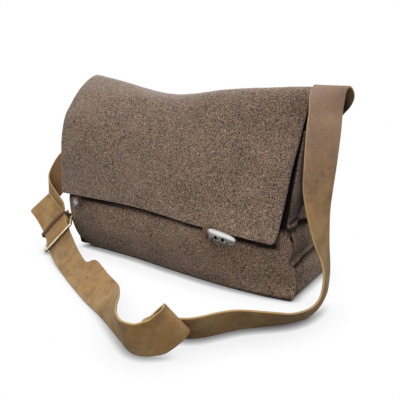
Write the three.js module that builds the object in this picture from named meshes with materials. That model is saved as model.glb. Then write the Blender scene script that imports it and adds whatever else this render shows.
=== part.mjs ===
import * as THREE from "three";

// Hunting bag of thick wool felt with a leather shoulder strap, laid down with its strap in front.
// Millimetres. Origin at the middle of the base, +X to the right of the front, +Y back, +Z up.

// Driving sizes
const FELT = 3;
const LEATHER = 3;
const GAP = 0.4;
const HALF_WIDTH = 177;
const SEAM_ROOM = FELT * 1.4 + 1;
const PANEL_FOOT = 1.6;
const PANEL_TOP = 222;
const CORNER_RIGHT = 8;
const CORNER_LEFT = 35;
const BAR = 2;
const STRAP_STEP = 11;

const V = (x, y, z) => new THREE.Vector3(x, y, z);

// Curves and interpolation
function blend(p0, p1, p2, p3, t) {
  const a = 2 * p1;
  const b = (p2 - p0) * t;
  const c = (2 * p0 - 5 * p1 + 4 * p2 - p3) * t * t;
  const d = (3 * p1 - p0 - 3 * p2 + p3) * t * t * t;
  return 0.5 * (a + b + c + d);
}

function rowAt(rows, s) {
  const k = Math.min(Math.max(Math.floor(s), 0), rows.length - 2);
  const at = (i) => rows[Math.min(Math.max(i, 0), rows.length - 1)];
  return rows[k].map((unused, c) => {
    return blend(at(k - 1)[c], at(k)[c], at(k + 1)[c], at(k + 2)[c], s - k);
  });
}

function place(stations, value) {
  let k = 0;
  while (k < stations.length - 2 && value > stations[k + 1]) k += 1;
  return k + (value - stations[k]) / (stations[k + 1] - stations[k]);
}

// Closed solids
function solid(points, faces) {
  const geometry = new THREE.BufferGeometry();
  const numbers = points.flatMap((p) => [p.x, p.y, p.z]);
  geometry.setAttribute("position", new THREE.Float32BufferAttribute(numbers, 3));
  geometry.setIndex(faces.flat());
  geometry.computeVertexNormals();
  return geometry;
}

// A sheet of even thickness; grid[i][j] is its outer face, which the other face follows inside.
function sheet(grid, thickness) {
  const rows = grid.length;
  const cols = grid[0].length;
  const at = (i, j) => grid[Math.min(Math.max(i, 0), rows - 1)][Math.min(Math.max(j, 0), cols - 1)];
  const points = [];
  for (let i = 0; i < rows; i += 1) {
    for (let j = 0; j < cols; j += 1) points.push(grid[i][j].clone());
  }
  for (let i = 0; i < rows; i += 1) {
    for (let j = 0; j < cols; j += 1) {
      const du = at(i + 1, j).clone().sub(at(i - 1, j));
      const dv = at(i, j + 1).clone().sub(at(i, j - 1));
      const normal = du.cross(dv).normalize();
      points.push(grid[i][j].clone().addScaledVector(normal, -thickness));
    }
  }
  const outer = (i, j) => i * cols + j;
  const inner = (i, j) => rows * cols + i * cols + j;
  const faces = [];
  const quad = (a, b, c, d) => faces.push([a, b, c], [a, c, d]);
  for (let i = 0; i < rows - 1; i += 1) {
    for (let j = 0; j < cols - 1; j += 1) {
      quad(outer(i, j), outer(i + 1, j), outer(i + 1, j + 1), outer(i, j + 1));
      quad(inner(i, j), inner(i, j + 1), inner(i + 1, j + 1), inner(i + 1, j));
    }
    quad(outer(i + 1, 0), outer(i, 0), inner(i, 0), inner(i + 1, 0));
    quad(outer(i, cols - 1), outer(i + 1, cols - 1), inner(i + 1, cols - 1), inner(i, cols - 1));
  }
  for (let j = 0; j < cols - 1; j += 1) {
    quad(outer(0, j), outer(0, j + 1), inner(0, j + 1), inner(0, j));
    quad(outer(rows - 1, j + 1), outer(rows - 1, j), inner(rows - 1, j), inner(rows - 1, j + 1));
  }
  return solid(points, faces);
}

// A body swept through rings of points; the last ring joins the first when closed.
function sweep(rings, closed) {
  const n = rings[0].length;
  const faces = [];
  const last = closed ? rings.length : rings.length - 1;
  for (let i = 0; i < last; i += 1) {
    const next = (i + 1) % rings.length;
    for (let j = 0; j < n; j += 1) {
      const k = (j + 1) % n;
      faces.push([i * n + j, i * n + k, next * n + k], [i * n + j, next * n + k, next * n + j]);
    }
  }
  if (!closed) {
    const end = (rings.length - 1) * n;
    for (let j = 1; j < n - 1; j += 1) {
      faces.push([0, j + 1, j], [end, end + j, end + j + 1]);
    }
  }
  return solid(rings.flat(), faces);
}

// A strap of rectangular section ruled between its outer edge and its inner edge.
function strap(rows, thickness) {
  const stations = [];
  const ends = (r) => ({ outer: V(r[0], r[1], r[2]), inner: V(r[3], r[4], r[5]) });
  for (let k = 0; k < rows.length - 1; k += 1) {
    const from = ends(rows[k]);
    const to = ends(rows[k + 1]);
    const span = Math.max(from.outer.distanceTo(to.outer), from.inner.distanceTo(to.inner));
    const steps = Math.max(1, Math.round(span / STRAP_STEP));
    for (let j = 0; j < steps; j += 1) stations.push(ends(rowAt(rows, k + j / steps)));
  }
  stations.push(ends(rows[rows.length - 1]));
  const rings = stations.map((station, k) => {
    const before = stations[Math.max(k - 1, 0)];
    const after = stations[Math.min(k + 1, stations.length - 1)];
    const across = station.inner.clone().sub(station.outer).normalize();
    const face = (edge) => after[edge].clone().sub(before[edge]).cross(across).normalize();
    const middle = station.outer.clone().lerp(station.inner, 0.5);
    const between = face("outer").add(face("inner")).normalize();
    const push = (point, normal, side) => point.clone().addScaledVector(normal, (side * thickness) / 2);
    return [
      push(station.outer, face("outer"), 1), push(station.outer, face("outer"), -1),
      push(middle, between, -1),
      push(station.inner, face("inner"), -1), push(station.inner, face("inner"), 1),
      push(middle, between, 1),
    ];
  });
  return sweep(rings, false);
}

// Back panel and flap: one felt piece, from the foot of the back over the top and down the front.
// Profile rows, with the y and z of four stations across the bag.
const COVER_STATIONS = [-182, -45, 60, 165];
const COVER_ROWS = [
  // yLeft zLeft ySag zSag yMiddle zMiddle yRight zRight
  [58, 2, 61, 2, 61, 2, 58, 2],
  [58, 45, 65, 45, 64, 45, 57, 45],
  [54, 110, 58, 108, 56, 110, 50, 110],
  [42, 180, 40, 168, 38, 176, 34, 180],
  [25, 234, 23, 212, 20, 227, 17, 232],
  [9, 253, 10, 233, 8, 247, 7, 252.5],
  [-9, 259, -8, 239.5, -6, 253, -4, 259.5],
  [-38, 244, -28, 234, -20, 245.5, -14, 250],
  [-61, 222, -46, 214, -33, 225, -21, 226],
  [-75, 204, -58, 196, -45, 199, -30, 199],
  [-84, 176, -69, 172, -59, 170, -46, 170],
  [-87, 150, -79, 146, -71, 141, -60, 136],
  [-89, 120, -86, 119, -81, 115, -74, 106],
  [-91, 90, -90, 95, -90, 91, -87, 87],
];
const COVER_SIDES = [
  // xLeft xRight
  [-178, 178], [-178, 178], [-178, 178], [-178, 178], [-179, 177], [-180, 175], [-181, 174],
  [-182, 172], [-182, 167.5], [-182, 165.5], [-182, 165], [-182, 165], [-182, 165], [-182, 165],
];

function coverPoint(s, share) {
  const sides = rowAt(COVER_SIDES, s);
  const x = sides[0] + (sides[1] - sides[0]) * share;
  const row = rowAt(COVER_ROWS, s);
  const columns = COVER_STATIONS.map((unused, k) => [row[2 * k], row[2 * k + 1]]);
  const spot = COVER_STATIONS[0] + (COVER_STATIONS[3] - COVER_STATIONS[0]) * share;
  const at = rowAt(columns, place(COVER_STATIONS, spot));
  return V(x, at[0], at[1]);
}

// The y of the back panel's outer face at a height, for the pieces that meet it.
function backY(x, z) {
  const share = (x + 178) / 356;
  let low = 0;
  let high = 5;
  for (let k = 0; k < 30; k += 1) {
    const middle = (low + high) / 2;
    if (coverPoint(middle, share).z < z) low = middle;
    else high = middle;
  }
  return coverPoint(low, share).y;
}

const COVER_CUTS = 20;
const COVER_STEPS = [1, 1, 2, 2, 3, 3, 3, 3, 2, 2, 2, 2, 2];
const coverLine = [];
COVER_STEPS.forEach((n, k) => {
  for (let j = 0; j < n; j += 1) coverLine.push(k + j / n);
});
coverLine.push(COVER_STEPS.length);
const coverGrid = coverLine.map((s) => {
  const line = [];
  for (let c = 0; c <= COVER_CUTS; c += 1) line.push(coverPoint(s, c / COVER_CUTS));
  return line;
});

// Front panel: felt, from the base up under the flap, where it sinks back between the sides.
// Rows give the y of its outer face at a height.
const PANEL_STATIONS = [-177, -80, 0, 80, 140, 166, 176];
const PANEL_HEIGHTS = [0, 18, 45, 75, 88, 105, 140, 180, 224];
const PANEL_ROWS = [
  [-55, -55, -61, -64, -60, -56, -54],
  [-65, -64, -68, -70, -59, -49, -45],
  [-75.4, -76, -77, -76, -65, -55, -51],
  [-79, -81, -82, -80, -70, -61, -58],
  [-78, -77, -78, -75, -67, -62, -60],
  [-70, -66, -64, -60, -55, -53, -52],
  [-66, -58, -50, -44, -40, -38, -37],
  [-60, -46, -36, -30, -26, -24, -23],
  [-48, -34, -24, -16, -11, -10, -10],
];

function panelY(x, z) {
  const row = rowAt(PANEL_ROWS, place(PANEL_HEIGHTS, z));
  return rowAt(row.map((y) => [y]), place(PANEL_STATIONS, x))[0];
}

function cornerCut(radius, z) {
  if (z >= radius) return 0;
  return radius - Math.sqrt(radius * radius - (radius - z) * (radius - z));
}

const PANEL_LINES = [
  PANEL_FOOT, 4, 9, 15, 22, 32, 45, 60, 75, 82, 89, 97, 105, 122, 140, 160, 180, 202, PANEL_TOP,
];
const PANEL_CUTS = 18;

// The right corner is pinched in where a crease of the side runs out to it.
const PINCHES = [
  // height, depth, reach
  [53, 6, 9],
  [108, 5, 8],
];

function sideX(z) {
  return PINCHES.reduce((x, [at, deep, reach]) => {
    return x - deep * Math.exp(-(((z - at) / reach) ** 2));
  }, HALF_WIDTH);
}

const panelGrid = PANEL_LINES.map((z) => {
  const left = -HALF_WIDTH - 1 + cornerCut(CORNER_LEFT, z);
  const tuckIn = 8.5 * THREE.MathUtils.smoothstep(z, 77, 87);
  const right = sideX(z) + 1 - cornerCut(CORNER_RIGHT, z) - tuckIn;
  const line = [];
  for (let c = 0; c <= PANEL_CUTS; c += 1) {
    const x = left + ((right - left) * c) / PANEL_CUTS;
    line.push(V(x, panelY(x, z), z));
  }
  return line.reverse();
});

// Gusset: one felt strip down the right side, along the base and up the left side.
// The sides fold inwards; each crease row gives a line on the side, its depth and its reach.
const CREASES = [
  // y0 z0 y1 z1 depth reachBelow reachAbove
  [-60, 119, -36, 136, 8, 12, 9],
  [-66, 107, -22, 112, 14, 16, 8],
  [-56, 52, 0, 62, 15, 18, 7],
  [-30, 20, 20, 75, 4, 20, 20],
];
const SIDE_DENT = 30;

function creaseDepth(y, z) {
  let depth = 0;
  CREASES.forEach(([y0, z0, y1, z1, most, below, above]) => {
    const length = (y1 - y0) ** 2 + (z1 - z0) ** 2;
    const t = Math.min(Math.max(((y - y0) * (y1 - y0) + (z - z0) * (z1 - z0)) / length, 0), 1);
    const off = Math.hypot(y - y0 - t * (y1 - y0), z - z0 - t * (z1 - z0));
    const reach = z > z0 + t * (z1 - z0) ? above : below;
    depth = Math.max(depth, most * Math.max(0, 1 - off / reach));
  });
  return depth;
}

const GUSSET_LINE = [];
const SIDE_HEIGHTS = [
  214, 192, 171, 150, 134, 124, 117, 110, 104, 97, 90, 84, 76, 68, 60, 53, 46, 38, 28, 18, 12,
];
SIDE_HEIGHTS.forEach((z) => GUSSET_LINE.push({ x: HALF_WIDTH, z, side: 1 }));
for (let k = 0; k <= 4; k += 1) {
  const a = (k / 4) * (Math.PI / 2);
  const centre = HALF_WIDTH - CORNER_RIGHT;
  GUSSET_LINE.push({
    x: centre + CORNER_RIGHT * Math.cos(a), z: CORNER_RIGHT - CORNER_RIGHT * Math.sin(a), side: 0,
  });
}
for (let k = 1; k < 10; k += 1) {
  const from = HALF_WIDTH - CORNER_RIGHT;
  const to = CORNER_LEFT - HALF_WIDTH;
  GUSSET_LINE.push({ x: from + ((to - from) * k) / 10, z: 0, side: 0 });
}
for (let k = 0; k <= 4; k += 1) {
  const a = (k / 4) * (Math.PI / 2);
  const centre = CORNER_LEFT - HALF_WIDTH;
  GUSSET_LINE.push({
    x: centre - CORNER_LEFT * Math.sin(a), z: CORNER_LEFT - CORNER_LEFT * Math.cos(a), side: 0,
  });
}
[...SIDE_HEIGHTS].reverse().filter((z) => z > CORNER_LEFT + 4).forEach((z) => {
  GUSSET_LINE.push({ x: -HALF_WIDTH, z, side: -1 });
});
const GUSSET_CUTS = 12;

// Height and y of the right side's front edge, which stands out beside the flap above the belly.
const FLANGE = [
  [76, -52.5], [82, -55], [86, -60.5], [90, -65], [97, -71.5], [105, -76], [118, -74],
  [134, -68], [150, -62.5], [171, -56], [192, -48], [214, -40],
];
const flangeHeights = FLANGE.map(([z]) => z);

function frontOf(x, z, side) {
  if (side < 1 || z < FLANGE[0][0]) return panelY(x, z) + SEAM_ROOM;
  return rowAt(FLANGE, place(flangeHeights, z))[1];
}

const gussetGrid = GUSSET_LINE.map(({ x, z, side }) => {
  const front = frontOf(x, z, side);
  const back = backY(x, Math.max(z, 2)) - SEAM_ROOM;
  const line = [];
  for (let c = 0; c <= GUSSET_CUTS; c += 1) {
    const share = (c / GUSSET_CUTS) ** (side > 0 ? 1.25 : 1);
    const y = front + (back - front) * share;
    const rise = THREE.MathUtils.smoothstep(z, 70, 170);
    const behind = THREE.MathUtils.clamp((y - panelY(166, z) - 7) / 12, 0, 1);
    const inside = behind * Math.min(1, 6 * (1 - share));
    const tuck = SIDE_DENT * rise * Math.sin(Math.PI * share) ** 2;
    const held = side > 0 ? HALF_WIDTH - sideX(z) : 0;
    const dent = side > 0 ? held + inside * Math.max(0, tuck + creaseDepth(y, z) - held) : tuck;
    line.push(V(x - side * dent, y, z));
  }
  return line;
});

// Buckle place: the bar across the strap, the strap's run through the frame and the face outwards.
const BAR_CENTRE = V(-184.5, -102.5, 25.4);
const BAR_AXIS = V(0.58, 0.36, 0.73).normalize();
const FRAME_RUN = V(-0.806, 0.38, 0.455).normalize();
const FRAME_FACE = BAR_AXIS.clone().cross(FRAME_RUN).normalize();
const TAIL_RUN = V(-0.73, 0.42, 0.54).normalize();
const FRAME_LENGTH = 22;
const FRAME_HALF = 29.5;
const HEEL_DROP = 2 * BAR + 2 * LEATHER + 4.5 * GAP;
const BILLET_DROP = BAR + LEATHER / 2 + GAP;
const BILLET_HALF = 24;
const BILLET_SHIFT = -2;
const STRAP_HALF = 24;
const SHORT_SHIFT = 0.8;

const framePoint = (run, across, face) => BAR_CENTRE.clone()
  .addScaledVector(FRAME_RUN, run).addScaledVector(BAR_AXIS, across).addScaledVector(FRAME_FACE, face);
const billet = BAR_CENTRE.clone().addScaledVector(FRAME_FACE, -BILLET_DROP);

function crossRow(centre, shift, half) {
  const a = centre.clone().addScaledVector(BAR_AXIS, shift - half);
  const b = centre.clone().addScaledVector(BAR_AXIS, shift + half);
  return [a.x, a.y, a.z, b.x, b.y, b.z];
}

const billetRow = (run) => crossRow(
  billet.clone().addScaledVector(TAIL_RUN, run), BILLET_SHIFT, BILLET_HALF,
);

// Sewn on the back panel: edge points held just off its face.
function onBack(x0, z0, x1, z1, off) {
  const stand = off + LEATHER * 0.55 + GAP;
  return [x0, backY(x0, z0) + stand, z0, x1, backY(x1, z1) + stand, z1];
}

// Long strap: from the back, over the right corner, down to the floor, on its edge round the front
// with one fold over itself, and through the buckle. Rows give the outer edge and the inner edge.
const LONG_ROWS = [
  onBack(142, 160, 106, 194, 0.6),
  onBack(168, 190, 131, 222, 2),
  [193, 32, 223, 153, 26, 245],
  [206, 24.4, 237.5, 161, 16, 254.5],
  [212, 17.2, 249.5, 165, 6, 261],
  [212.3, 11.5, 257.2, 166.5, 0.5, 262.8],
  [210.5, 5.5, 262.4, 167.5, -6, 263.3],
  [207.3, 1.3, 258, 170.5, -19, 259.8],
  [206.2, 0.9, 250.3, 175, -31, 251],
  [205.3, 0.2, 241, 177.3, -36.2, 243],
  [205, -0.8, 232, 178.5, -39, 235],
  [206.5, -6, 209.7, 180, -46, 215],
  [205, -8, 171, 181, -50, 176.3],
  [201.6, -6, 137.7, 182, -51, 146.5],
  [200.4, -7, 111, 190, -55, 119.5],
  [202, -7, 72.7, 201, -55, 86],
  [206, -10, 45, 212, -55, 63.5],
  [209.3, -18, 29, 219, -63, 49.2],
  [211.4, -29, 13, 221.4, -75, 31],
  [211.8, -52, 4, 221.1, -95.8, 26.5],
  [208.6, -75.3, 1.6, 217, -116.4, 28],
  [201.7, -93.7, 1.6, 209.3, -132.8, 30.3],
  [188.1, -112.7, 1.6, 198.1, -147.1, 34.8],
  [158.2, -143.3, 1.6, 168.5, -171.4, 40],
  [145.2, -161.3, 1.6, 153.5, -188.9, 40.9],
  [133.1, -179.5, 1.6, 143.8, -205, 41],
  [121.5, -192.5, 1.6, 134.5, -215, 40.2],
  [107, -200, 1.6, 121.5, -221.5, 39.2],
  [90, -208, 1.6, 105, -227, 39],
  [80, -217, 1.6, 96, -236, 39.5],
  [80.5, -226.5, 1.6, 96, -246.5, 40],
  [92, -227, 4.5, 102.6, -246.5, 44],
  [111, -219.5, 14.5, 110.5, -241.5, 53.8],
  [124.8, -216.3, 22, 114.6, -239.4, 58.7],
  [131, -216.4, 26, 117.8, -239.8, 62],
  [135, -218.3, 27.4, 120.3, -242, 64.6],
  [136.8, -221.2, 27.4, 122.3, -245.2, 65],
  [136.4, -224.3, 24.6, 122.9, -248, 62.8],
  [132.4, -227.6, 18.6, 120.4, -250, 59.2],
  [125.5, -231, 11, 116, -252.4, 55],
  [116.5, -236.5, 3.2, 111.5, -255.6, 50],
  [109.5, -242.5, 1.8, 106.5, -260.4, 48.4],
  [102.6, -246.7, 1.6, 100.8, -265, 46.5],
  [91, -251.5, 1.6, 92, -268.1, 47.1],
  [76.8, -249.2, 1.6, 81.7, -266.2, 46.8],
  [57.4, -239.3, 1.6, 67.4, -255.5, 46.3],
  [29.3, -225.1, 1.6, 52.4, -237.1, 42.7],
  [1.3, -211.7, 1.6, 34.8, -213.4, 37.1],
  [-21.1, -202.5, 1.6, 16.6, -192.3, 31.3],
  [-39.8, -194.9, 1.6, -2.2, -174.2, 26.6],
  [-70.4, -180.2, 1.6, -34.6, -157.1, 26.2],
  [-104, -163.5, 1.6, -71, -136, 26],
  [-112, -159, 1.6, -83, -133, 24],
  [-120, -155, 1.6, -95, -135, 20],
  [-158, -135, 2.6, -130, -116, 25],
  billetRow(-4),
  billetRow(14),
  billetRow(32),
  [-244.4, -89, 38.4, -214.8, -72, 66.9],
  [-265.7, -83, 47.6, -234.9, -68, 78.9],
];

// Short strap: turned round the heel bar of the buckle, out to the left and back behind the bag.
const heel = framePoint(FRAME_LENGTH, 0, -HEEL_DROP);
const turn = BAR + 1.5 * GAP + LEATHER / 2;
const aroundHeel = (run, face) => crossRow(
  heel.clone().addScaledVector(TAIL_RUN, run).addScaledVector(FRAME_FACE, face), SHORT_SHIFT, STRAP_HALF,
);
const SHORT_ROWS = [
  aroundHeel(20, -turn),
  aroundHeel(8, -turn),
  aroundHeel(0, -turn),
  aroundHeel(-turn * 0.71, -turn * 0.71),
  aroundHeel(-turn, 0),
  aroundHeel(-turn * 0.71, turn * 0.71),
  aroundHeel(0, turn),
  aroundHeel(8, turn),
  aroundHeel(16, turn),
  [-232.9, -81.2, 31, -208, -65.4, 68.3],
  [-248, -70, 37.1, -228.3, -58.5, 78.7],
  [-256.1, -56.3, 42.9, -247.3, -53, 89.9],
  [-255, -44, 52.6, -262.4, -42, 100.2],
  [-244.3, -34, 67.3, -263.3, -30, 116],
  [-234.9, -18, 87.1, -259.1, -16, 131.4],
  [-218, 10, 108, -246, 8, 150],
  [-199, 42, 124, -223, 38, 168],
  [-172, 60, 137, -191, 54, 182],
  onBack(-148, 145, -146, 191, 1.5),
  onBack(-118, 152, -112, 199, 0.6),
];

// Buckle frame: brass wire bent to a ring with rounded corners.
function ring(corners, radius, sides) {
  const path = [];
  corners.forEach((corner, k) => {
    const before = corners[(k + corners.length - 1) % corners.length];
    const after = corners[(k + 1) % corners.length];
    const a = corner.clone().lerp(before, radius / corner.distanceTo(before));
    const b = corner.clone().lerp(after, radius / corner.distanceTo(after));
    for (let j = 0; j <= 4; j += 1) {
      const t = j / 4;
      const p = a.clone().multiplyScalar((1 - t) ** 2).addScaledVector(corner, 2 * t * (1 - t));
      path.push(p.addScaledVector(b, t * t));
    }
  });
  const normal = corners[1].clone().sub(corners[0]).cross(corners[2].clone().sub(corners[1])).normalize();
  return path.map((p, k) => {
    const next = path[(k + 1) % path.length];
    const ahead = next.clone().sub(path[(k + path.length - 1) % path.length]).normalize();
    const out = normal.clone().cross(ahead).normalize();
    const section = [];
    for (let j = 0; j < sides.length; j += 1) {
      section.push(p.clone().addScaledVector(out, sides[j][0]).addScaledVector(normal, sides[j][1]));
    }
    return section;
  });
}

const wire = [];
for (let k = 0; k < 8; k += 1) {
  wire.push([BAR * Math.cos((k * Math.PI) / 4), BAR * Math.sin((k * Math.PI) / 4)]);
}
const frameCorners = [
  framePoint(0, -FRAME_HALF, 0), framePoint(0, FRAME_HALF, 0),
  framePoint(FRAME_LENGTH, FRAME_HALF, -HEEL_DROP), framePoint(FRAME_LENGTH, -FRAME_HALF, -HEEL_DROP),
];

// Keeper: a dark leather band round the strap end and the doubled short strap behind the frame.
const KEEPER_RUN = 9;
const KEEPER_WIDE = 6;
const KEEPER_THICK = 2;
const keeperHigh = HEEL_DROP - BILLET_DROP + LEATHER / 2 + 3.6 * GAP + KEEPER_THICK / 2;
const keeperLow = -turn - LEATHER / 2 - GAP - KEEPER_THICK / 2;
const keeperPoint = (across, face) => heel.clone().addScaledVector(TAIL_RUN, KEEPER_RUN)
  .addScaledVector(BAR_AXIS, across).addScaledVector(FRAME_FACE, face);
const keeperCorners = [
  keeperPoint(-25.6, keeperLow), keeperPoint(26.7, keeperLow), keeperPoint(27.2, keeperHigh - 5),
  keeperPoint(25.8, keeperHigh), keeperPoint(-28.4, keeperHigh), keeperPoint(-28.2, keeperHigh - 5.4),
];
const band = (wide, thick) => [
  [-thick / 2, -wide / 2], [thick / 2, -wide / 2], [thick / 2, wide / 2], [-thick / 2, wide / 2],
];

// Toggles: polished horn, flattened and slightly curved.
const TOGGLE_LENGTH = 40;
const TOGGLE_SECTION = [
  // along, half height, half depth
  [0, 2.2, 1.6], [0.05, 4.6, 3], [0.16, 6.2, 4.2], [0.35, 6.9, 4.8],
  [0.6, 6.8, 4.8], [0.82, 6, 4.1], [0.95, 4.2, 3], [1, 2, 1.6],
];
const TOGGLES = [
  // name, place, turn, dip
  { name: "toggle_left", at: V(-138.3, -102.7, 85.6), yaw: -0.76, dip: -0.17 },
  { name: "toggle_right", at: V(99.5, -97.1, 83.5), yaw: 0, dip: 0.13 },
];

function toggle() {
  const sides = 14;
  const rings = TOGGLE_SECTION.map(([along, high, deep]) => {
    const line = [];
    const x = (along - 0.5) * TOGGLE_LENGTH;
    const bow = 1.2 * (1 - (2 * along - 1) ** 2);
    for (let k = 0; k < sides; k += 1) {
      const a = (k / sides) * 2 * Math.PI;
      line.push(V(x, deep * Math.cos(a) - bow, high * Math.sin(a)));
    }
    return line;
  });
  return sweep(rings, false);
}

// Loops: a narrow orange leather thong from inside the flap's edge round each toggle.
const LOOP_WIDE = 7;
const LOOP_THICK = 1.6;

function loopRing(yaw, dip, at) {
  const turned = (p) => p.applyAxisAngle(V(0, 1, 0), dip).applyAxisAngle(V(0, 0, 1), yaw);
  const spot = (y, z) => turned(V(-19, y, z)).add(at);
  const high = 6.9;
  const deep = 6.4;
  const corners = [spot(-deep, -high), spot(deep, -high), spot(deep, high), spot(-deep, high)];
  return ring(corners, 4, band(LOOP_WIDE, LOOP_THICK));
}

// Assembly
const group = new THREE.Group();
group.name = "hunting_bag";

function add(name, geometry, color, roughness, metalness) {
  const mesh = new THREE.Mesh(geometry, new THREE.MeshStandardMaterial({ color, roughness, metalness }));
  mesh.name = name;
  group.add(mesh);
}

add("back_and_flap", sheet(coverGrid, FELT), 0x6b5a50, 0.95, 0);
add("front_panel", sheet(panelGrid, FELT), 0x675750, 0.95, 0);
add("gusset", sheet(gussetGrid, FELT), 0x5d4f48, 0.95, 0);
add("strap_long", strap(LONG_ROWS, LEATHER), 0x96784f, 0.7, 0);
add("strap_short", strap(SHORT_ROWS, LEATHER), 0x8c6f48, 0.7, 0);
add("buckle_frame", sweep(ring(frameCorners, 3.5, wire), true), 0xb08d4a, 0.3, 1);
add("keeper", sweep(ring(keeperCorners, 1.8, band(KEEPER_WIDE, KEEPER_THICK)), true), 0x3a2517, 0.6, 0);
TOGGLES.forEach(({ name, at, yaw, dip }) => {
  const geometry = toggle();
  geometry.rotateY(dip);
  geometry.rotateZ(yaw);
  geometry.translate(at.x, at.y, at.z);
  add(name, geometry, 0xa9a49b, 0.4, 0);
  add(name.replace("toggle", "loop"), sweep(loopRing(yaw, dip, at), true), 0xa8622c, 0.7, 0);
});

export default group;
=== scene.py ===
import math

import bpy
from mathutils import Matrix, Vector, noise


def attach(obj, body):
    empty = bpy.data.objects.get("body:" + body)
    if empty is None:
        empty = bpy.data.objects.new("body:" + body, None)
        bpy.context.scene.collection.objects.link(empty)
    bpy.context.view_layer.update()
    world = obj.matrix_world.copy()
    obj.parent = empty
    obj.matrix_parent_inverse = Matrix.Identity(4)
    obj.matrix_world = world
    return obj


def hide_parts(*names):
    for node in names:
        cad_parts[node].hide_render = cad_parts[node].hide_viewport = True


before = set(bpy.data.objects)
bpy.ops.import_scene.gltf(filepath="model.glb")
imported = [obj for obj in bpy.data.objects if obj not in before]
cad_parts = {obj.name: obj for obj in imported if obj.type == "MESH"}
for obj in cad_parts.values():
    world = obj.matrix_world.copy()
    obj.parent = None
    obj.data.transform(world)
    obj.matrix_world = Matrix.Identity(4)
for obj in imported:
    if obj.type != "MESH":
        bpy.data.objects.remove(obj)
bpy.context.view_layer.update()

# Camera, floor and light
# The bag stands on a pale table, seen from the front right and a little above.
# A white room lights it from all round, with two broad lamps; the table glows white to the
# eye, with shadow painted on it only close under the bag, and throws little light back up.
CAMERA_PLACE = (0.4314, -0.6456, 0.3309)
CAMERA_AIM = (0.0037, 0.0, 0.0907)
CAMERA_LENS = 50.74
SENSOR_WIDTH = 36.0
CAMERA_REACH = 50.0
FLOOR_HALF = 6.0
FLOOR_BOUNCE = (0.17, 0.17, 0.17)
FLOOR_SHADES = [
    # reach, tone where fully hidden, share of the sky that hides fully and not at all
    (0.012, 0.0, 0.08, 0.97),
    (0.045, 0.85, 0.35, 0.94),
]
SHADE_SAMPLES = 16
ROOM_LIGHT = 1.0
LAMPS = [
    # name, place, aim, size, watts
    ("overhead_lamp", (-0.3, 0.35, 1.5), (0.0, 0.0, 0.2), 1.0, 6.0),
    ("front_lamp", (0.45, -1.1, 1.25), (0.05, -0.05, 0.1), 0.7, 8.0),
]


def put(name, data):
    thing = bpy.data.objects.new(name, data)
    bpy.context.collection.objects.link(thing)
    return thing


def aimed(name, data, spot, aim):
    thing = put(name, data)
    thing.location = spot
    thing.rotation_euler = (Vector(aim) - Vector(spot)).to_track_quat("-Z", "Y").to_euler()
    return thing


def fill(node, values):
    # A socket takes a number, a colour, a vector or what another node puts out.
    for name, value in values.items():
        socket = node.inputs[name]
        if isinstance(value, bpy.types.NodeSocket):
            node.id_data.links.new(value, socket)
        elif isinstance(value, tuple) and socket.type == "RGBA":
            socket.default_value = (*value, 1)
        else:
            socket.default_value = value


def add_node(tree, kind, values):
    node = tree.nodes.new(kind)
    fill(node, values)
    return node


def range_node(value, low, high, to_low=0.0, to_high=1.0):
    return add_node(value.id_data, "ShaderNodeMapRange", {
        "Value": value, "From Min": low, "From Max": high, "To Min": to_low,
        "To Max": to_high}).outputs["Result"]


def math_node(kind, first, second):
    node = add_node(first.id_data, "ShaderNodeMath", {0: first, 1: second})
    node.operation = kind
    return node.outputs["Value"]


def new_material(name):
    material = bpy.data.materials.new(name)
    material.use_nodes = True
    return material, material.node_tree, material.node_tree.nodes["Principled BSDF"]


camera_data = bpy.data.cameras.new("camera")
camera_data.lens = CAMERA_LENS
camera_data.sensor_width = SENSOR_WIDTH
camera_data.clip_end = CAMERA_REACH
bpy.context.scene.camera = aimed("camera", camera_data, CAMERA_PLACE, CAMERA_AIM)
bpy.context.scene.view_settings.view_transform = "Standard"

floor_paint, floor_tree, floor_shader = new_material("floor_paint")
floor_tree.nodes.remove(floor_shader)
floor_tones = []
for reach, dark, hidden, clear in FLOOR_SHADES:
    floor_near = add_node(floor_tree, "ShaderNodeAmbientOcclusion", {"Distance": reach})
    floor_near.samples = SHADE_SAMPLES
    floor_tones.append(range_node(floor_near.outputs["AO"], hidden, clear, dark))
floor_eye = add_node(floor_tree, "ShaderNodeLightPath", {})
floor_dull = add_node(floor_tree, "ShaderNodeBsdfDiffuse", {"Color": FLOOR_BOUNCE})
floor_glow = add_node(floor_tree, "ShaderNodeEmission",
                      {"Color": math_node("MULTIPLY", *floor_tones)})
floor_mix = add_node(floor_tree, "ShaderNodeMixShader", {
    "Fac": floor_eye.outputs["Is Camera Ray"], 1: floor_dull.outputs["BSDF"],
    2: floor_glow.outputs["Emission"]})
fill(floor_tree.nodes["Material Output"], {"Surface": floor_mix.outputs["Shader"]})
floor_mesh = bpy.data.meshes.new("floor")
floor_mesh.from_pydata(
    [(x * FLOOR_HALF, y * FLOOR_HALF, 0) for x, y in ((-1, -1), (1, -1), (1, 1), (-1, 1))],
    [], [(0, 1, 2, 3)])
floor_mesh.materials.append(floor_paint)
put("floor", floor_mesh)

for name, spot, aim, size, watts in LAMPS:
    lamp_data = bpy.data.lights.new(name, "AREA")
    lamp_data.size = size
    lamp_data.energy = watts
    aimed(name, lamp_data, spot, aim)

room = bpy.data.worlds.new("white_room")
room.use_nodes = True
fill(room.node_tree.nodes["Background"], {"Color": (1, 1, 1), "Strength": ROOM_LIGHT})
bpy.context.scene.world = room

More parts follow.
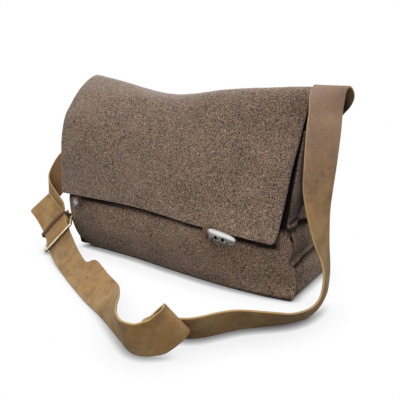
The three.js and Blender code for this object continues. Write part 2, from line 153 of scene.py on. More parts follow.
# Front panel
# One piece of thick brown-grey wool felt with rounded lower corners, sewn at its sides
# and foot to the gusset; it bulges over the belly of the bag and leans back under the flap.
MM = 0.001
FELT = 3.0
FELT_EDGE = [
    # inset of the rounded cut edge, share of the thickness
    (0.9, 0.0), (0.3, 0.2), (0.0, 0.5), (0.3, 0.8), (0.9, 1.0),
]
FELT_STEP = 3.6
EDGE_HOLD = 14.0
BROAD_WAVE = 46.0
FINE_WAVE = 15.0
SHEET_WAVES = (0.9, 0.28)
# Near-black colour of painted shade, and how fully it covers where a piece is marked for it.
SHADE_COLOUR = (0.004, 0.003, 0.002)
SHADE_STRENGTH = 0.95
HALF_WIDTH = 177.0
PANEL_FOOT = 1.6
PANEL_LOW = 22.0
PANEL_TOP = 222.0
PANEL_LOW_STEP = 2.2
PANEL_CUTS = 96
LAP_LEFT = 3.0
LAP_RIGHT = 1.0
CORNER_RIGHT = 8.0
PANEL_CORNER = 31.0
PANEL_TUCK = 5.4
TUCK_HEIGHTS = (77, 86)
PANEL_STATIONS = [-177, -80, 0, 80, 140, 166, 176]
PANEL_HEIGHTS = [0, 18, 45, 75, 88, 105, 140, 180, 224]
PANEL_ROWS = [
    [-55, -55, -61, -64, -60, -56, -54],
    [-65, -64, -68, -70, -59, -49, -45],
    [-75.4, -76, -77, -76, -65, -55, -51],
    [-79, -81, -82, -80, -70, -61, -58],
    [-78, -77, -78, -75, -67, -62, -60],
    [-70, -66, -64, -60, -55, -53, -52],
    [-66, -58, -50, -44, -40, -38, -37],
    [-60, -46, -36, -30, -26, -24, -23],
    [-48, -34, -24, -16, -11, -10, -10],
]
PINCHES = [
    # height, depth, reach of the dents in the right corner
    [53, 6, 9],
    [108, 2, 8],
]
FLAP_SHADE = [
    # place along the bag, and the height from which the panel is dark under the flap
    [-182, 84.5], [-45, 88], [60, 82], [165, 70.5],
]
FLAP_FADE = 4.0
# Where the flap's right end lets light in under it, along the bag and in height.
BESIDE_FLAP = (156, 163)
BESIDE_HEIGHTS = (88, 97)
SEAM_SHADE = 0.7
SEAM_REACH = (-3.5, 0.5)
SEAM_HEIGHTS = (42, 58)
# Painted shade on the panel's left end, which faces away from the light: strength and reach.
LEFT_END_SHADE = 0.13
LEFT_END_REACH = (90, 170)
FOOT_SHADE_HEIGHTS = (1.0, 7.5)


def blend(p0, p1, p2, p3, t):
    return 0.5 * (2 * p1 + (p2 - p0) * t + (2 * p0 - 5 * p1 + 4 * p2 - p3) * t * t
                  + (3 * p1 - p0 - 3 * p2 + p3) * t * t * t)


def row_at(rows, s):
    # A row between the rows of a table, on smooth curves through its columns.
    last = len(rows) - 1
    k = min(max(int(math.floor(s)), 0), last - 1)
    four = [rows[min(max(i, 0), last)] for i in (k - 1, k, k + 1, k + 2)]
    return [blend(*column, s - k) for column in zip(*four)]


def place(stations, value):
    k = 0
    while k < len(stations) - 2 and value > stations[k + 1]:
        k += 1
    return k + (value - stations[k]) / (stations[k + 1] - stations[k])


def table_at(table, value):
    # A row of a table, found by its first column.
    return row_at(table, place([row[0] for row in table], value))


def steps(start, end, size):
    count = max(1, round(abs(end - start) / size))
    return [start + (end - start) * k / count for k in range(count + 1)]


def smooth_step(value, low, high):
    t = min(max((value - low) / (high - low), 0), 1)
    return t * t * (3 - 2 * t)


def panel_y(x, z):
    row = row_at(PANEL_ROWS, place(PANEL_HEIGHTS, z))
    return row_at([[y] for y in row], place(PANEL_STATIONS, x))[0]


def side_x(z):
    dents = [deep * math.exp(-((z - at) / reach) ** 2) for at, deep, reach in PINCHES]
    return HALF_WIDTH - sum(dents)


def corner_cut(radius, z):
    # How far a rounded corner comes in from the side, at a height over its foot.
    if z >= radius:
        return 0.0
    return radius - math.sqrt(radius * radius - (radius - z) ** 2)


def new_object(name, points, edges, faces):
    mesh = bpy.data.meshes.new(name)
    mesh.from_pydata([tuple(MM * c for c in p) for p in points], edges, faces)
    return put(name, mesh)


def make_piece(name, points, faces, material):
    piece = new_object(name, points, [], faces)
    piece.data.materials.append(material)
    piece.data.shade_smooth()
    return piece


def mark(piece, name, values):
    layer = piece.data.attributes.new(name, "FLOAT", "POINT")
    layer.data.foreach_set("value", values)


def dress(piece, node):
    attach(piece, "root")
    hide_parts(node)


def felt_wave(p, large, small):
    broad = noise.noise(p / BROAD_WAVE + Vector((3.1, 7.7, 1.3)))
    fine = noise.noise(p / FINE_WAVE + Vector((9.2, 0.4, 5.8)))
    return large * broad + small * fine


def felt_sheet(grid, shade, waves):
    # The grid is the outer face; the inner face follows it, and the cut edge is rounded.
    # Shade gives how much painted shade darkens the outer face at a place; the inner face is
    # painted dark as shade.
    rows, cols = len(grid), len(grid[0])
    cells = [(i, j) for i in range(rows) for j in range(cols)]
    around = ([(0, j) for j in range(cols - 1)] + [(i, cols - 1) for i in range(rows - 1)]
              + [(rows - 1, j) for j in range(cols - 1, 0, -1)]
              + [(i, 0) for i in range(rows - 1, 0, -1)])

    def at(i, j):
        return grid[min(max(i, 0), rows - 1)][min(max(j, 0), cols - 1)]

    normals, face = {}, {}
    for i, j in cells:
        p = at(i, j)
        normal = (at(i + 1, j) - at(i - 1, j)).cross(at(i, j + 1) - at(i, j - 1)).normalized()
        near = min((p - rim).length for rim in (grid[i][0], grid[i][-1], grid[0][j], grid[-1][j]))
        face[i, j] = p + normal * min(1.0, near / EDGE_HOLD) * felt_wave(p, *waves)
        normals[i, j] = normal
    outward = {cell: Vector() for cell in cells}
    for i, j in around:
        if i in (0, rows - 1):
            outward[i, j] += (at(i, j) - at(1 if i == 0 else rows - 2, j)).normalized()
        if j in (0, cols - 1):
            outward[i, j] += (at(i, j) - at(i, 1 if j == 0 else cols - 2)).normalized()
        outward[i, j].normalize()

    def inset(cell, inward, depth):
        return face[cell] - outward[cell] * inward - normals[cell] * FELT * depth

    points = [inset(cell, *FELT_EDGE[side]) for side in (0, -1) for cell in cells]
    painted_shade = [shade(at(*cell)) for cell in cells] + [1.0] * len(cells)
    faces = []
    for i, j in cells:
        if i < rows - 1 and j < cols - 1:
            a, b, inner = i * cols + j, (i + 1) * cols + j, len(cells)
            faces.append((a, b, b + 1, a + 1))
            faces.append((inner + a, inner + a + 1, inner + b + 1, inner + b))
    layers = [[i * cols + j for i, j in around]]
    for inward, depth in FELT_EDGE[1:-1]:
        layers.append(list(range(len(points), len(points) + len(around))))
        points += [inset(cell, inward, depth) for cell in around]
        painted_shade += [shade(at(*cell)) * (1 - depth) + depth for cell in around]
    layers.append([len(cells) + k for k in layers[0]])
    for upper, lower in zip(layers, layers[1:]):
        for k in range(len(around)):
            n = (k + 1) % len(around)
            faces.append((upper[k], upper[n], lower[n], lower[k]))
    return points, faces, painted_shade


def felt_piece(name, node, felt, grid, shade, waves):
    points, faces, painted_shade = felt_sheet(grid, shade, waves)
    piece = make_piece(name, points, faces, felt)
    mark(piece, "painted_shade", painted_shade)
    dress(piece, node)


def noise_node(vector, scale, detail, rough):
    return add_node(vector.id_data, "ShaderNodeTexNoise", {
        "Vector": vector, "Scale": scale, "Detail": detail, "Roughness": rough}).outputs["Fac"]


def mix_node(share, first, second):
    node = share.id_data.nodes.new("ShaderNodeMix")
    node.data_type = "RGBA"
    fill(node, {0: share, 6: first, 7: second})
    return node.outputs[2]


def layered(colour, layers):
    # Colours laid over one another: mask, how much of it counts, colour.
    for mask, strength, other in layers:
        colour = mix_node(math_node("MULTIPLY", mask, strength), colour, other)
    return colour


def object_place(tree):
    return tree.nodes.new("ShaderNodeTexCoord").outputs["Object"]


def marked(tree, name):
    node = tree.nodes.new("ShaderNodeAttribute")
    node.attribute_name = name
    return node.outputs["Fac"]


def bump(height, strength, distance):
    return add_node(height.id_data, "ShaderNodeBump", {
        "Height": height, "Strength": strength, "Distance": distance}).outputs["Normal"]


def new_group(name, scale_name, scale, outputs):
    # A shader group that takes a place and the scale of its finest grain.
    group = bpy.data.node_groups.new(name, "ShaderNodeTree")
    group.interface.new_socket("Place", in_out="INPUT", socket_type="NodeSocketVector")
    grain = group.interface.new_socket(scale_name, in_out="INPUT", socket_type="NodeSocketFloat")
    grain.default_value = scale
    for label in outputs:
        group.interface.new_socket(label, in_out="OUTPUT", socket_type="NodeSocketFloat")
    given = group.nodes.new("NodeGroupInput").outputs
    return group, given["Place"], given[scale_name]


def use_group(tree, group):
    node = tree.nodes.new("ShaderNodeGroup")
    node.node_tree = group
    fill(node, {"Place": object_place(tree)})
    return node.outputs


# Wool fibres: pale and dark hairs lying every way, over a cloudy mix of wools.
HAIR_SHARE = (0.58, 0.72)
HAIR_LAYS = [
    # turn and stretch of the two pale and the two dark sets of hairs
    ((0.4, 0.3, 0.7), (1.0, 0.42, 1.0)), ((1.3, -0.5, 0.2), (0.42, 1.0, 1.0)),
    ((0.2, 0.9, -0.8), (1.0, 1.0, 0.42)), ((-0.7, 0.2, 1.9), (0.42, 1.0, 0.6)),
]
HAIR_BEND = 0.012
wool_group, wool_place, wool_scale = new_group(
    "wool_fibres", "Fibre Scale", 1000.0, ("Cloud", "Speckle", "Pale Hair", "Dark Hair", "Height"))
wool_bend = noise_node(wool_place, 150.0, 2.0, 0.5).node
wool_shift = wool_group.nodes.new("ShaderNodeVectorMath")
wool_shift.operation = "MULTIPLY_ADD"
fill(wool_shift, {0: wool_bend.outputs["Color"], 1: (HAIR_BEND, HAIR_BEND, HAIR_BEND),
                  2: wool_place})
hair_masks = []
for turn_by, stretch in HAIR_LAYS:
    lay = add_node(wool_group, "ShaderNodeMapping", {
        "Vector": wool_shift.outputs["Vector"], "Rotation": turn_by, "Scale": stretch})
    hair_masks.append(range_node(noise_node(lay.outputs["Vector"], wool_scale, 1.0, 0.5),
                                 *HAIR_SHARE))
wool_pale = math_node("MAXIMUM", *hair_masks[:2])
wool_speckle = noise_node(wool_place, 700.0, 3.0, 0.7)
add_node(wool_group, "NodeGroupOutput", {
    "Cloud": noise_node(wool_place, 28.0, 3.0, 0.55), "Speckle": wool_speckle,
    "Pale Hair": wool_pale, "Dark Hair": math_node("MAXIMUM", *hair_masks[2:]),
    "Height": math_node("ADD", wool_speckle, math_node("MULTIPLY", wool_pale, 0.5))})


def wool_felt(name, deep, light, pale_hair, dark_hair, sheen):
    material, tree, shader = new_material(name)
    fibres = use_group(tree, wool_group)
    tone = math_node("ADD", range_node(fibres["Speckle"], 0.455, 0.568),
                     range_node(fibres["Cloud"], 0.3, 0.7, -0.14, 0.14))
    # Dark and pale hairs over the felt's tone, then painted shade where the piece is marked for
    # it.
    colour = layered(mix_node(tone, deep, light), [
        (fibres["Dark Hair"], 0.75, dark_hair), (fibres["Pale Hair"], 0.7, pale_hair),
        (marked(tree, "painted_shade"), SHADE_STRENGTH, SHADE_COLOUR)])
    fill(shader, {"Base Color": colour, "Normal": bump(fibres["Height"], 0.5, 0.0006),
                  "Roughness": 0.95, "Specular IOR Level": 0.12, "Sheen Weight": sheen,
                  "Sheen Roughness": 0.5, "Sheen Tint": (0.92, 0.88, 0.86)})
    return material


# Painted contact shade, darkest at the foot where a felt piece meets the table.
def near_floor(p):
    return 1 - smooth_step(p.z, *FOOT_SHADE_HEIGHTS)


# Painted shade on the front panel: a dark line along the side seam, the flap's shadow under its
# lower edge except where its right end lets light in, a darker left end facing away from the
# light, and contact shade at the foot.
def panel_shade(p):
    off = p.x - side_x(p.z)
    seam = SEAM_SHADE * smooth_step(off, *SEAM_REACH) * smooth_step(p.z, *SEAM_HEIGHTS)
    dark = table_at(FLAP_SHADE, p.x)[1]
    beside = smooth_step(p.x, *BESIDE_FLAP) * (1 - smooth_step(p.z, *BESIDE_HEIGHTS))
    under = smooth_step(p.z, dark - FLAP_FADE, dark) * (1 - beside)
    return max(near_floor(p), seam, under, LEFT_END_SHADE * smooth_step(-p.x, *LEFT_END_REACH))


panel_grid = []
for z in (steps(PANEL_FOOT, PANEL_LOW, PANEL_LOW_STEP)[:-1]
          + steps(PANEL_LOW, PANEL_TOP, FELT_STEP)):
    left = -HALF_WIDTH - LAP_LEFT + corner_cut(PANEL_CORNER, z)
    tuck = PANEL_TUCK * smooth_step(z, *TUCK_HEIGHTS)
    right = side_x(z) + LAP_RIGHT - corner_cut(CORNER_RIGHT, z) - tuck
    line = [right + (left - right) * k / PANEL_CUTS for k in range(PANEL_CUTS + 1)]
    panel_grid.append([Vector((x, panel_y(x, z), z)) for x in line])
# The felt's tone differs from piece to piece as painted light: each piece's tone is set to how it
# is lit.
panel_felt = wool_felt("panel_felt", (0.04, 0.023, 0.014), (0.355, 0.23, 0.157),
                       (0.62, 0.47, 0.37), (0.03, 0.018, 0.012), 0.14)
felt_piece("felt_front_panel", "front_panel", panel_felt, panel_grid, panel_shade, SHEET_WAVES)

# Back panel and flap
# One long piece of the same felt: it rises from the foot of the back, rolls over the top
# and falls over the front as the flap, sagging between its left shoulder and the strap.
COVER_STATIONS = [-182, -45, 60, 165]
COVER_ROWS = [
    # y left, z left, y sag, z sag, y middle, z middle, y right, z right
    [58, 2, 61, 2, 61, 2, 58, 2],
    [58, 45, 65, 45, 64, 45, 57, 45],
    [54, 110, 58, 108, 56, 110, 50, 110],
    [42, 180, 40, 168, 38, 176, 34, 180],
    [25, 234, 23, 212, 20, 227, 17, 232],
    [9, 253, 10, 233, 8, 247, 7, 252.5],
    [-9, 259, -8, 239.5, -6, 253, -4, 261],
    [-38, 244, -28, 234, -20, 245.5, -15.5, 251.5],
    [-61, 222, -46, 214, -33, 225, -21, 226],
    [-75, 204, -58, 196, -45, 199, -30, 199],
    [-84, 176, -69, 172, -59, 170, -46, 170],
    [-87, 150, -79, 146, -71, 141, -60, 136],
    [-89, 120, -86, 119, -81, 115, -74, 106],
    [-91, 94, -90, 96, -90, 89, -87, 85],
]
COVER_SIDES = [
    # x left, x right
    *[[-178, 178]] * 4, [-179, 177], [-180, 175], [-181, 174],
    [-182, 172], [-182, 167.5], [-182, 165.5], *[[-182, 165]] * 4,
]
COVER_CUTS = 96
BACK_SIDE = 178.0
BACK_LAST = 5.0
BACK_TRIES = 30
BACK_ROUND = 33.0
FLAP_ROUND = 7.0
FLAP_WIDTH = 350.0
TIP_CUTS = 8


def cover_point(s, share):
    left, right = row_at(COVER_SIDES, s)
    row = row_at(COVER_ROWS, s)
    columns = [row[2 * k:2 * k + 2] for k in range(len(COVER_STATIONS))]
    spot = COVER_STATIONS[0] + (COVER_STATIONS[-1] - COVER_STATIONS[0]) * share
    y, z = row_at(columns, place(COVER_STATIONS, spot))
    return Vector((left + (right - left) * share, y, z))


def back_y(x, z):
    # The back panel's place behind a point of the bag, found by halving.
    share = (x + BACK_SIDE) / (2 * BACK_SIDE)
    low, high = 0.0, BACK_LAST
    for k in range(BACK_TRIES):
        middle = (low + high) / 2
        if cover_point(middle, share).z < z:
            low = middle
        else:
            high = middle
    return cover_point(low, share).y


flap_end = len(COVER_ROWS) - 1
cover_line = []
for k in range(flap_end):
    span = (cover_point(k + 1, 0.5) - cover_point(k, 0.5)).length
    cover_line += steps(k, k + 1, FELT_STEP / span)[:-1]
flap_tip = FLAP_ROUND / span
cover_line = ([s for s in cover_line if s < flap_end - flap_tip]
              + steps(flap_end - flap_tip, flap_end, flap_tip / TIP_CUTS))
cover_grid = []
for s in cover_line:
    rest = (cover_point(flap_end, 0.5) - cover_point(s, 0.5)).length
    first = corner_cut(BACK_ROUND, cover_point(s, 0).z) / (2 * BACK_SIDE)
    last = 1 - corner_cut(FLAP_ROUND, rest) / FLAP_WIDTH
    cover_grid.append([cover_point(s, first + (last - first) * c / COVER_CUTS)
                       for c in range(COVER_CUTS + 1)])
# Darker than the panel's felt as painted shade, against the light and sheen the flap takes on top.
flap_felt = wool_felt("flap_felt", (0.028, 0.016, 0.01), (0.255, 0.163, 0.109),
                      (0.50, 0.38, 0.30), (0.025, 0.015, 0.01), 0.5)
felt_piece("felt_back_and_flap", "back_and_flap", flap_felt, cover_grid, near_floor, SHEET_WAVES)

# Gusset
# One felt strip down the right side, along the base and up the left side, sewn between
# the two panels; its sides tuck in towards the top, creased where the bag has slumped, and
# its lower left corner sags towards the table behind the front panel.
SEAM_ROOM = FELT + 0.3
SIDE_DENT = 30.0
DENT_HEIGHTS = (70, 170)
CREASES = [
    # y0, z0, y1, z1, depth, reach below, reach above
    [-68, 108, 3, 112, 10, 6, 10],
    [-71, 102, 8, 90, 12, 14, 6],
    [-46, 41, 30, 46, 14, 14, 7],
    [-30, 20, 20, 75, 4, 20, 20],
]
# The creases start behind the side's front edge: place along the bag, gap and reach.
CREASE_START = (166, 7, 12)
CREASE_END = 6
FLANGE = [
    # height and y of the right side's front edge, which stands out beside the flap
    [76, -54.4], [82, -56], [86, -59], [91, -63], [97, -67.5], [103.5, -71.5], [111, -70.5],
    [120, -70], [134, -67.5], [150, -62.5], [171, -56], [192, -48], [214, -40],
]
GUSSET_TOP = 214
GUSSET_CUTS = 40
RIGHT_BUNCH = 1.25
RIGHT_STEP = 2.4
BASE_STEP = 5
CORNER_LEFT = 35.0
CORNER_ROOM = 3
CORNER_STEPS = (8, 10)
CORNER_SAG = 27.0
SAG_ENDS = (0.05, 0.25)
BASE_LIFT = 2
# Painted shade: reach of the dark in the creases, strength and heights over the upper side and its
# fading, and strength and place in the lower left corner.
CREASE_SHADE_REACH = (0.22, 0.6)
UPPER_SHADE = 0.76
UPPER_HEIGHTS = (109, 117)
UPPER_FADE = 0.35
FADE_HEIGHTS = (126, 148)
CORNER_SHADE = 0.95
CORNER_REACH = (130, 150)
CORNER_HEIGHTS = (20, 45)


def crease_off(crease, y, z):
    # How far a place on the side is from a crease, and whether it is above it.
    y0, z0, y1, z1 = crease[:4]
    length = (y1 - y0) ** 2 + (z1 - z0) ** 2
    t = min(max(((y - y0) * (y1 - y0) + (z - z0) * (z1 - z0)) / length, 0), 1)
    return math.hypot(y - y0 - t * (y1 - y0), z - z0 - t * (z1 - z0)), z > z0 + t * (z1 - z0)


def crease_depth(y, z):
    depth = 0.0
    for crease in CREASES:
        most, below_reach, above_reach = crease[4:]
        off, above = crease_off(crease, y, z)
        depth = max(depth, most * max(0.0, 1 - off / (above_reach if above else below_reach)))
    return depth


def left_corner(turn, radius):
    # A place on the rounded lower left corner, from the base at turn 0 to the side at 1;
    # the right corner is its mirror image.
    a = turn * math.pi / 2
    return radius * (1 - math.sin(a)) - HALF_WIDTH, radius * (1 - math.cos(a))


# Painted shade on the gusset: dark in its creases, over the upper side under the flap and strap,
# fading higher up, in the lower left corner, and at the foot.
def gusset_shade(p):
    crease_shade = 0.0
    if p.x > 0:
        for crease in CREASES[:-1]:
            off, above = crease_off(crease, p.y, p.z)
            reach = crease[6] if above else crease[5]
            crease_shade = max(crease_shade, 1 - smooth_step(off / reach, *CREASE_SHADE_REACH))
    upper = UPPER_SHADE * smooth_step(p.z, *UPPER_HEIGHTS)
    upper *= 1 - UPPER_FADE * smooth_step(p.z, *FADE_HEIGHTS)
    corner = CORNER_SHADE * smooth_step(-p.x, *CORNER_REACH)
    corner *= 1 - smooth_step(p.z, *CORNER_HEIGHTS)
    return max(near_floor(p), upper, crease_shade, corner)


# x, z, which side, turn round the lower left corner
gusset_line = [(HALF_WIDTH, z, 1, None)
               for z in steps(GUSSET_TOP, CORNER_RIGHT + CORNER_ROOM, RIGHT_STEP)]
for k in range(CORNER_STEPS[0] + 1):
    x, z = left_corner(1 - k / CORNER_STEPS[0], CORNER_RIGHT)
    gusset_line.append((-x, z, 0, None))
gusset_line += [(x, 0, 0, None) for x in
                steps(HALF_WIDTH - CORNER_RIGHT, CORNER_LEFT - HALF_WIDTH, BASE_STEP)[1:-1]]
for k in range(CORNER_STEPS[1] + 1):
    turn = k / CORNER_STEPS[1]
    gusset_line.append((*left_corner(turn, CORNER_LEFT), 0, turn))
gusset_line += [(-HALF_WIDTH, z, -1, None)
                for z in steps(CORNER_LEFT + CORNER_ROOM, GUSSET_TOP, FELT_STEP)]
gusset_grid = []
for x, z, side, turn in gusset_line:
    front = panel_y(x, z) + SEAM_ROOM
    if side > 0 and z > FLANGE[0][0]:
        front = table_at(FLANGE, z)[1]
    back = back_y(x, max(z, BASE_LIFT)) - SEAM_ROOM
    line = []
    for c in range(GUSSET_CUTS + 1):
        share = (c / GUSSET_CUTS) ** (RIGHT_BUNCH if side > 0 else 1.0)
        y = front + (back - front) * share
        dent = SIDE_DENT * smooth_step(z, *DENT_HEIGHTS) * math.sin(math.pi * share) ** 2
        if side > 0:
            along, gap, reach = CREASE_START
            inside = min(max((y - panel_y(along, z) - gap) / reach, 0), 1)
            inside *= min(1, CREASE_END * (1 - share))
            held = HALF_WIDTH - side_x(z)
            dent = held + inside * max(0, dent + crease_depth(y, z) - held)
        spot = (x - side * dent, z)
        if turn is not None:
            sag = min(smooth_step(share, 0, SAG_ENDS[0]), smooth_step(1 - share, 0, SAG_ENDS[1]))
            spot = left_corner(turn, CORNER_LEFT - CORNER_SAG * sag)
        line.append(Vector((spot[0], y, spot[1])))
    gusset_grid.append(line)
# Lighter than the panel's felt as painted light, for the side that the lamps light less.
gusset_felt = wool_felt("gusset_felt", (0.048, 0.03, 0.021), (0.415, 0.283, 0.207),
                        (0.64, 0.50, 0.41), (0.03, 0.018, 0.012), 0.05)
felt_piece("felt_gusset", "gusset", gusset_felt, gusset_grid, gusset_shade, (0.0, 0.0))

# Long strap
# A band of tan nubuck, sewn on the back at the right, over the right corner and down to the
# table, where it runs on its edge round the front with one fold and goes through the buckle.
LEATHER = 3.0
GAP = 0.4
BAR = 2.0
STRAP_STEP = 4.0
BAR_CENTRE = Vector((-184.5, -102.5, 25.4))
BAR_AXIS = Vector((0.58, 0.36, 0.73)).normalized()
FRAME_RUN = Vector((-0.806, 0.38, 0.455)).normalized()
FRAME_FACE = BAR_AXIS.cross(FRAME_RUN).normalized()
TAIL_RUN = Vector((-0.73, 0.42, 0.54)).normalized()
BILLET_DROP = BAR + LEATHER / 2 + GAP
BILLET_HALF = 24.0
BILLET_SHIFT = -2.0
BACK_STAND = LEATHER * 0.55 + GAP
FOOT = 0.8


def cross_row(centre, shift, half):
    return [*(centre + BAR_AXIS * (shift - half)), *(centre + BAR_AXIS * (shift + half))]


def billet_row(run):
    centre = BAR_CENTRE - FRAME_FACE * BILLET_DROP + TAIL_RUN * run
    return cross_row(centre, BILLET_SHIFT, BILLET_HALF)


def on_back(x0, z0, x1, z1, off):
    stand = off + BACK_STAND
    return [x0, back_y(x0, z0) + stand, z0, x1, back_y(x1, z1) + stand, z1]


LONG_ROWS = [
    # outer edge x, y, z, inner edge x, y, z
    on_back(142, 160, 106, 194, 0.6),
    on_back(168, 190, 131, 222, 2),
    [193, 32, 223, 153, 26, 245],
    [206, 24.4, 237.5, 161, 16, 254.5],
    [212, 17.2, 249.5, 166, 6, 260.5],
    [212.3, 11.5, 257.2, 168, 0.5, 262],
    [210.5, 5.5, 262.4, 169.2, -6, 262.5],
    [207.3, 1.3, 258, 171.4, -19, 259.2],
    [206.2, 0.9, 250.3, 175, -31, 251],
    [205.3, 0.2, 241, 177.3, -36.2, 243],
    [205, -0.8, 232, 178.5, -39, 235],
    [206.5, -6, 209.7, 180, -46, 215],
    [205, -8, 171, 181, -50, 176.3],
    [201.6, -6, 137.7, 182, -51, 146.5],
    [200.4, -7, 111, 190, -55, 119.5],
    [202, -7, 72.7, 201, -55, 86],
    [206, -10, 45, 212, -55, 63.5],
    [209.3, -18, 29, 219, -63, 49.2],
    [211.4, -29, 13, 221.4, -75, 31],
    [211.8, -52, 4, 221.1, -95.8, 26.5],
    [208.6, -75.3, FOOT, 217, -116.4, 28],
    [201.7, -93.7, FOOT, 209.3, -132.8, 30.3],
    [188.1, -112.7, FOOT, 198.1, -147.1, 34.8],
    [158.2, -143.3, FOOT, 168.5, -171.4, 40],
    [145.2, -161.3, FOOT, 153.5, -188.9, 40.9],
    [133.1, -179.5, FOOT, 143.8, -205, 41],
    [121.5, -192.5, FOOT, 134.5, -215, 40.2],
    [107, -200, FOOT, 121.5, -221.5, 39.2],
    [90, -208, FOOT, 105, -227, 39],
    [80, -217, FOOT, 96, -236, 39.5],
    [80.5, -226.5, FOOT, 96, -246.5, 40],
    [92, -227, 4.5, 102.6, -246.5, 44],
    [111, -219.5, 14.5, 110.5, -241.5, 53.8],
    [124.8, -216.3, 22, 114.6, -239.4, 58.7],
    [131, -216.4, 26, 117.8, -239.8, 62],
    [135, -218.3, 27.4, 120.3, -242, 64.6],
    [136.8, -221.2, 27.4, 122.3, -245.2, 65],
    [136.4, -224.3, 24.6, 122.9, -248, 62.8],
    [132.4, -227.6, 18.6, 120.4, -250, 59.2],
    [125.5, -231, 11, 116, -252.4, 55],
    [116.5, -236.5, 3.2, 111.5, -255.6, 50],
    [109.5, -242.5, 1.8, 106.5, -260.4, 48.4],
    [102.6, -246.7, FOOT, 100.8, -265, 46.5],
    [91, -251.5, FOOT, 92, -268.1, 47.1],
    [76.8, -249.2, FOOT, 81.7, -266.2, 46.8],
    [57.4, -239.3, FOOT, 67.4, -255.5, 46.3],
    [29.3, -225.1, FOOT, 52.4, -237.1, 42.7],
    [1.3, -211.7, FOOT, 34.8, -213.4, 37.1],
    [-21.1, -202.5, FOOT, 16.6, -192.3, 31.3],
    [-39.8, -194.9, FOOT, -2.2, -174.2, 26.6],
    [-70.4, -180.2, FOOT, -34.6, -157.1, 26.2],
    [-104, -163.5, FOOT, -71, -136, 26],
    [-112, -159, FOOT, -83, -133, 24],
    [-120, -155, FOOT, -95, -135, 20],
    [-158, -135, 2.6, -130, -116, 25],
    billet_row(-4),
    billet_row(14),
    billet_row(32),
    [-244.4, -89, 38.4, -214.8, -72, 66.9],
    [-265.7, -83, 47.6, -234.9, -68, 78.9],
]
STRAP_EDGE = [
    # inset from the edge, share of the half thickness, how much cut edge shows
    (0.0, 0.3, 1.0), (0.25, 0.75, 0.9), (0.7, 0.97, 0.15), (2.0, 1.0, 0.0),
]
STRAP_FACES = 9
STRAP_THICK = 2.4
TAIL_CORNERS = (3.0, 2.0)
STRAP_HOLES = [
    # rows back from the end, share of the width
    (0.5, 0.47), (4.92, 0.49), (8.64, 0.49),
]
PUNCH_RADIUS = 1.4
PUNCH_REACH = 4.0
BORE_SIDES = 16
BORE_ANGLE = 45.0
AHEAD = 0.02
# The inside of the roll over the corner is painted dark as shade: heights, and places along the
# bag.
ROLL_HEIGHTS = (222, 236)
ROLL_REACH = (199, 207)
# Heights, in metres, where the strap takes its upper tone and where its top is painted darker
# again as shade.
UPPER_TONE_HEIGHTS = (0.12, 0.20)
TOP_HEIGHTS = (0.225, 0.262)


def strap_frames(rows):
    # Each station's outer and inner edge, with the strap's face direction at both edges.
    edges = []
    for k, (here, there) in enumerate(zip(rows, rows[1:])):
        span = max((Vector(here[:3]) - Vector(there[:3])).length,
                   (Vector(here[3:]) - Vector(there[3:])).length)
        count = max(2, round(span / STRAP_STEP))
        edges += [row_at(rows, k + j / count) for j in range(count)]
    edges = [(Vector(row[:3]), Vector(row[3:])) for row in edges + rows[-1:]]
    frames = []
    for before, (outer, inner), after in zip(edges[:1] + edges, edges, edges[1:] + edges[-1:]):
        across = (inner - outer).normalized()
        turns = [(b - a).cross(across).normalized() for a, b in zip(before, after)]
        frames.append((outer, inner, *turns))
    return frames


def strap_place(rows, station, share, ahead):
    # A place in the strap's middle layer, and the way that its flesh side faces there.
    here, there = row_at(rows, station), row_at(rows, station + ahead)
    outer, inner = Vector(here[:3]), Vector(here[3:])
    face = (Vector(there[:3]) - outer).cross(inner - outer).normalized()
    return outer.lerp(inner, share), face


def strap_piece(name, rows, end_corners=(0.0, 0.0)):
    # The band's outline is rounded at its cut edges, and its last corners may be rounded.
    frames = strap_frames(rows)
    tip = frames[-1][0] + frames[-1][1]
    points, faces, edge, flesh = [], [], [], []
    for outer, inner, outer_face, inner_face in frames:
        across = (inner - outer).normalized()
        rest = (outer + inner - tip).length / 2
        outer = outer + across * corner_cut(end_corners[0], rest)
        inner = inner - across * corner_cut(end_corners[1], rest)
        width = (inner - outer).length
        first, last = STRAP_EDGE[-1][0], width - STRAP_EDGE[-1][0]
        top = STRAP_EDGE + [(first + (last - first) * k / STRAP_FACES, 1.0, 0.0)
                            for k in range(1, STRAP_FACES)]
        top += [(width - inset, rise, cut) for inset, rise, cut in reversed(STRAP_EDGE)]
        for sign, run in ((1, top), (-1, top[::-1])):
            for inset, rise, cut in run:
                share = inset / width
                face = (outer_face * (1 - share) + inner_face * share).normalized()
                points.append(outer + across * inset + face * sign * rise * STRAP_THICK / 2)
                edge.append(cut)
                flesh.append(max(0.0, sign))
    n = 2 * len(top)
    end = (len(frames) - 1) * n
    for i in range(0, end, n):
        for j in range(n):
            k = (j + 1) % n
            faces.append((i + j, i + n + j, i + n + k, i + k))
    for j in range(len(top) - 1):
        faces.append((j, j + 1, n - 2 - j, n - 1 - j))
        faces.append((end + n - 1 - j, end + n - 2 - j, end + j + 1, end + j))
    edge[:n] = edge[end:] = [1.0] * n
    piece = make_piece(name, points, faces, strap_leather)
    mark(piece, "cut_edge", edge)
    mark(piece, "flesh_side", flesh)
    return piece, points, flesh


def settle(piece, modifier):
    # The piece's mesh becomes what the modifier makes of it.
    bpy.context.view_layer.update()
    graph = bpy.context.evaluated_depsgraph_get()
    made = bpy.data.meshes.new_from_object(piece.evaluated_get(graph))
    piece.modifiers.remove(modifier)
    piece.data = made


def ring_angles(count):
    return [2 * math.pi * k / count for k in range(count)]


